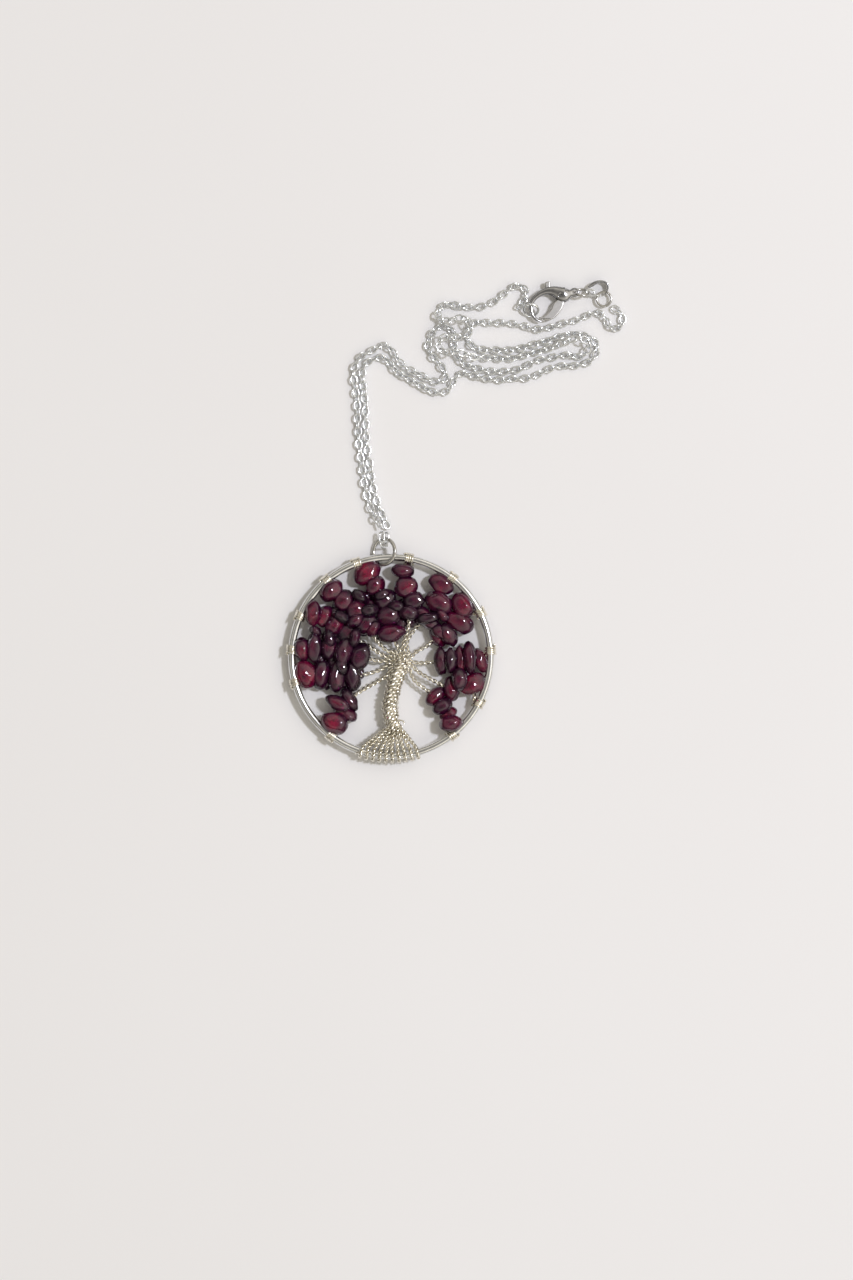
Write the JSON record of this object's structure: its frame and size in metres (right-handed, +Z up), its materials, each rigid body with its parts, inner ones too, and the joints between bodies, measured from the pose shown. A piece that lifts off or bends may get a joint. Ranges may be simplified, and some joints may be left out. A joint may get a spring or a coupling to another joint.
{
  "type": "tree of life pendant necklace",
  "caption": "Wire-wrapped tree-of-life hoop pendant with garnet chips, on a fine cable chain with a lobster clasp, lying loose.",
  "frame": {"origin": "under the middle of the pendant and its bail ring, on the surface they lie on", "axes": "+Z up off the surface, +Y from the tree's roots to the bail ring, +X to the right of the tree"},
  "size_m": [0.0829, 0.1174, 0.0058],
  "materials": {
    "silver_wire": "silver-plated craft wire, worn bright",
    "chain_silver": "bright silver plate",
    "clasp_steel": "polished, slightly dark",
    "garnet": "polished deep red stone"
  },
  "bodies": {
    "chain": {"chain_half_clasp_side": "chain_silver", "chain_half_tag_side": "chain_silver", "chain_bail_links": "chain_silver", "end_ring": "clasp_steel", "clasp_body": "clasp_steel", "clasp_pin": "clasp_steel", "clasp_spring": "clasp_steel", "clasp_jump_ring": "clasp_steel", "extension_links": "chain_silver", "extension_ring": "clasp_steel"},
    "bail_ring": {"bail_ring": "silver_wire"},
    "pendant": {"hoop": "silver_wire", "trunk": "silver_wire", "roots": "silver_wire", "branch_wire_01": "silver_wire", "garnet_chips_01": "garnet", "hoop_wrap_01": "silver_wire", "branch_wire_02": "silver_wire", "garnet_chips_02": "garnet", "hoop_wrap_02": "silver_wire", "branch_wire_03": "silver_wire", "garnet_chips_03": "garnet", "hoop_wrap_03": "silver_wire", "branch_wire_04": "silver_wire", "garnet_chips_04": "garnet", "hoop_wrap_04": "silver_wire", "branch_wire_05": "silver_wire", "garnet_chips_05": "garnet", "hoop_wrap_05": "silver_wire", "branch_wire_06": "silver_wire", "garnet_chips_06": "garnet", "hoop_wrap_06": "silver_wire", "branch_wire_07": "silver_wire", "garnet_chips_07": "garnet", "hoop_wrap_07": "silver_wire", "branch_wire_08": "silver_wire", "garnet_chips_08": "garnet", "hoop_wrap_08": "silver_wire", "branch_wire_09": "silver_wire", "garnet_chips_09": "garnet", "hoop_wrap_09": "silver_wire", "branch_wire_10": "silver_wire", "garnet_chips_10": "garnet", "hoop_wrap_10": "silver_wire", "branch_wire_11": "silver_wire", "garnet_chips_11": "garnet", "hoop_wrap_11": "silver_wire", "branch_wire_12": "silver_wire", "garnet_chips_12": "garnet", "hoop_wrap_12": "silver_wire"},
    "clasp_lever": {"clasp_lever": "clasp_steel"},
    "end_tag": {"end_tag": "clasp_steel"}
  },
  "joints": [
    {"name": "bail_on_chain", "type": "hinge", "parent": "chain", "child": "bail_ring", "pos_m": [-0.0017, 0.02696, 0.002], "axis": [-0.829, -0.0487, -0.5571], "range_deg": [0, 60]},
    {"name": "pendant_on_bail", "type": "hinge", "parent": "bail_ring", "child": "pendant", "pos_m": [-0.0017, 0.02245, 0.00255], "axis": [-1, 0, 0], "range_deg": [0, 68]},
    {"name": "clasp_lever_pivot", "type": "hinge", "parent": "chain", "child": "clasp_lever", "pos_m": [0.04102, 0.08602, 0.0016], "axis": [0, 0, -1], "range_deg": [0, 8], "stiffness_Nm_per_rad": 0.01, "springref_deg": -11.46},
    {"name": "tag_on_ring", "type": "hinge", "parent": "chain", "child": "end_tag", "pos_m": [0.05246, 0.08685, 0.00125], "axis": [0.9063, -0.4226, 0], "range_deg": [0, 40]}
  ]
}
